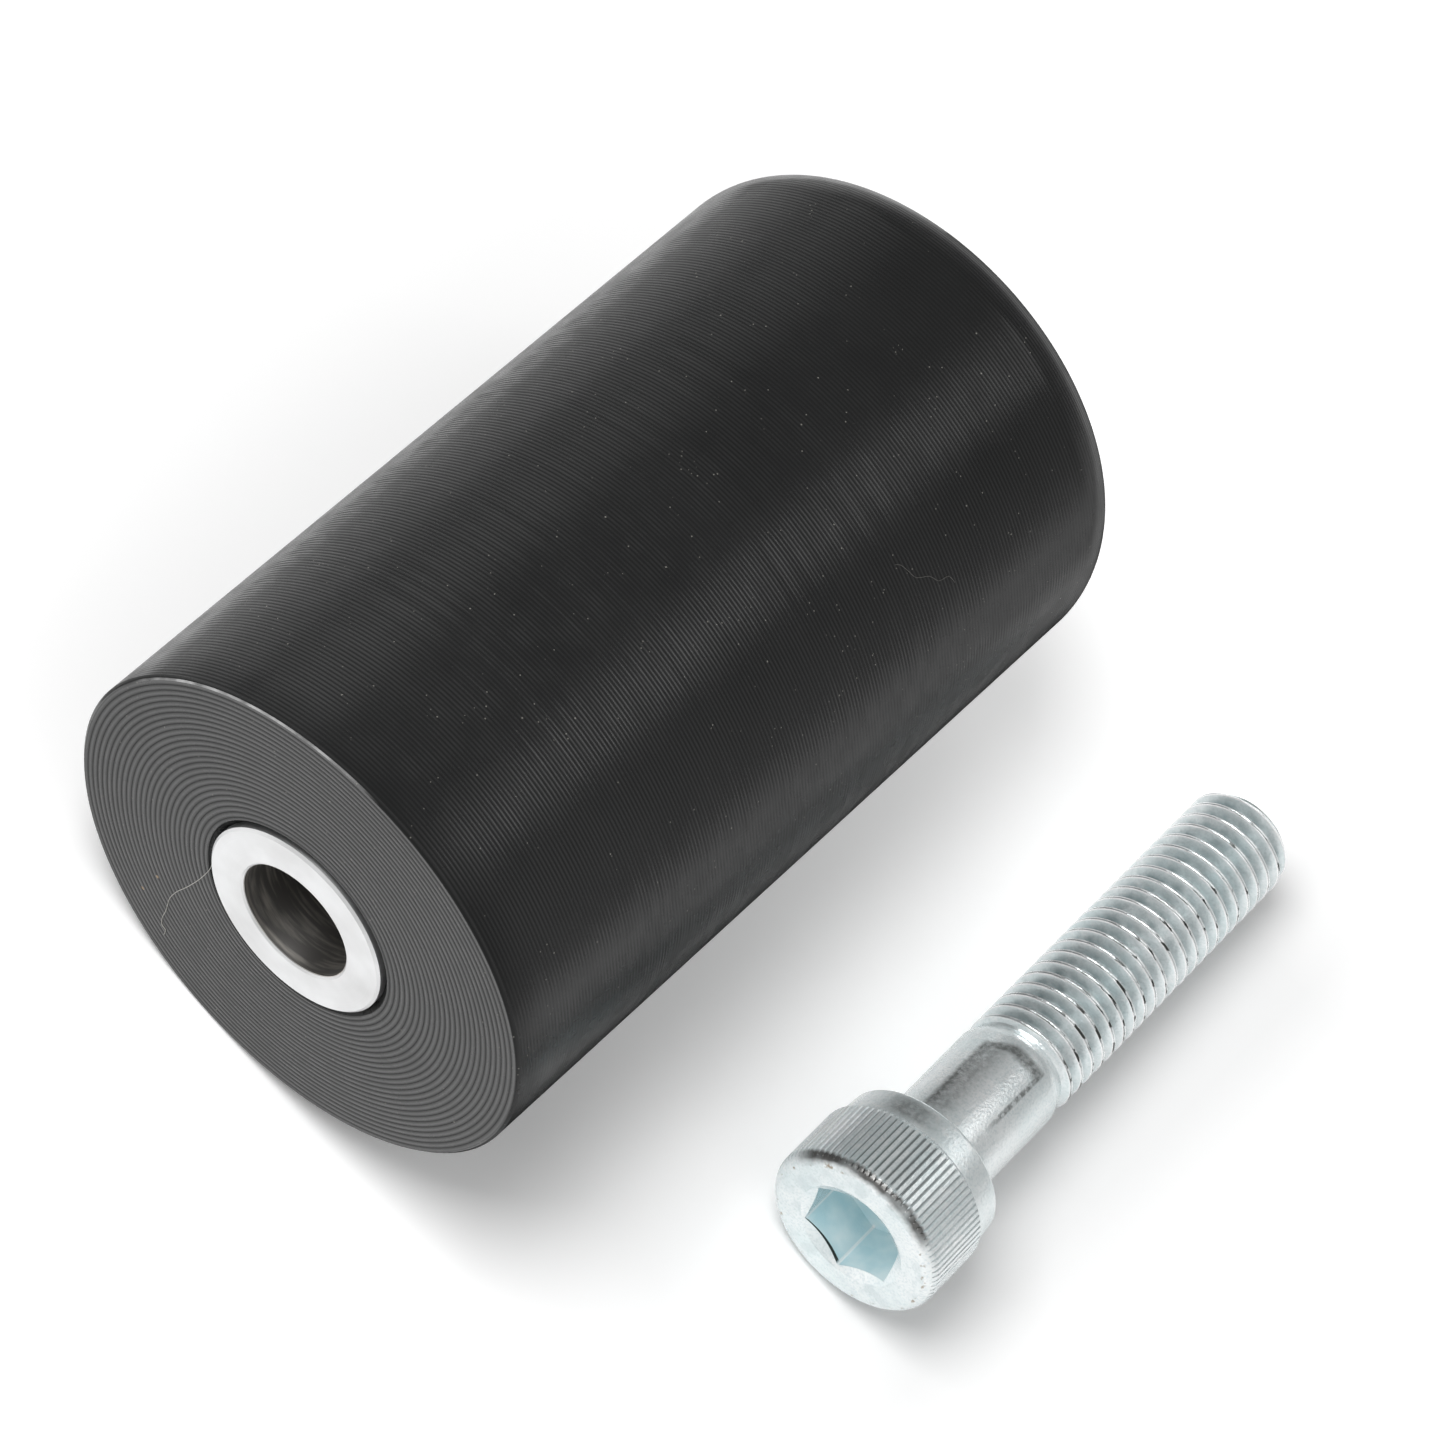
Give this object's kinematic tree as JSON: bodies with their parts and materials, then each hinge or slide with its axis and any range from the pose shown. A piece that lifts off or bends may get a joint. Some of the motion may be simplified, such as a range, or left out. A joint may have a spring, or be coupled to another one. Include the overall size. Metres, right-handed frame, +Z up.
{
  "type": "motorcycle frame slider",
  "caption": "Round black plastic crash puck with a pressed-in metal sleeve for a bolt and a deep recess for its head, lying on its side with its own socket head cap screw beside it.",
  "frame": {"origin": "centre of the sleeve's bore in the plane of the puck's mounting end", "axes": "+Y along the bore from the mounting end to the outer end, +Z up from the floor that the puck and the screw lie on, +X towards the screw"},
  "size_m": [0.0771, 0.0812, 0.044],
  "materials": {
    "black_plastic": "turned, satin, with fine tool grooves",
    "sleeve_metal": "machined",
    "screw_steel": "bright zinc plated steel with a bluish tint"
  },
  "bodies": {
    "root": {"slider_puck": "black_plastic", "mounting_sleeve": "sleeve_metal", "cap_screw": "screw_steel"}
  },
  "joints": []
}
